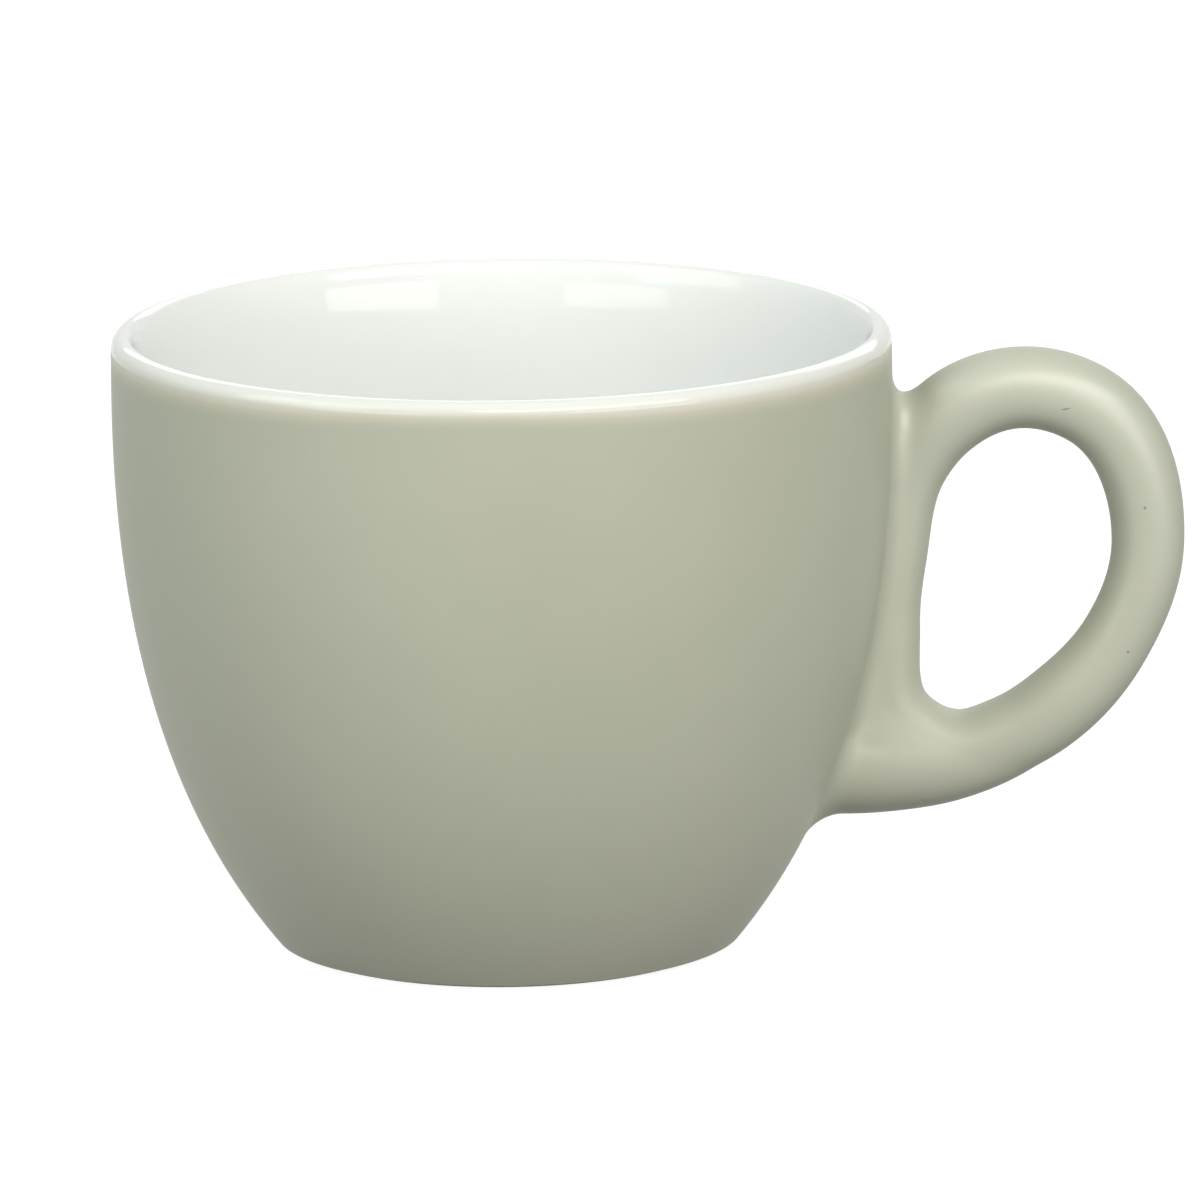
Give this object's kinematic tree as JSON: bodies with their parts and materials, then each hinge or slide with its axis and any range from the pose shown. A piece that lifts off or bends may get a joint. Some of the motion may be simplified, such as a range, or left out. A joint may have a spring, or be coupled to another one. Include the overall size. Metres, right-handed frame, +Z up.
{
  "type": "espresso cup",
  "caption": "Small tapered porcelain espresso cup with a solid ring handle, sage outside and white inside.",
  "frame": {"origin": "middle of the footprint of bowl and handle together, on the plane that the cup stands on", "axes": "+Z up along the bowl's axis, +X from the bowl to the handle, Y across the handle"},
  "size_m": [0.0893, 0.065, 0.052],
  "materials": {
    "bare_porcelain": "bare fired porcelain, matt",
    "handle_porcelain": "fired porcelain under the glaze",
    "joint_slip": "fired slip under the glaze",
    "sage_glaze": "sage glaze, soft gloss",
    "white_liner": "white glaze, gloss",
    "white_base": "white glaze, gloss"
  },
  "bodies": {
    "root": {"cup_body": "bare_porcelain", "handle": "handle_porcelain", "handle_slip": "joint_slip", "outer_glaze": "sage_glaze", "liner_glaze": "white_liner", "base_glaze": "white_base"}
  },
  "joints": []
}
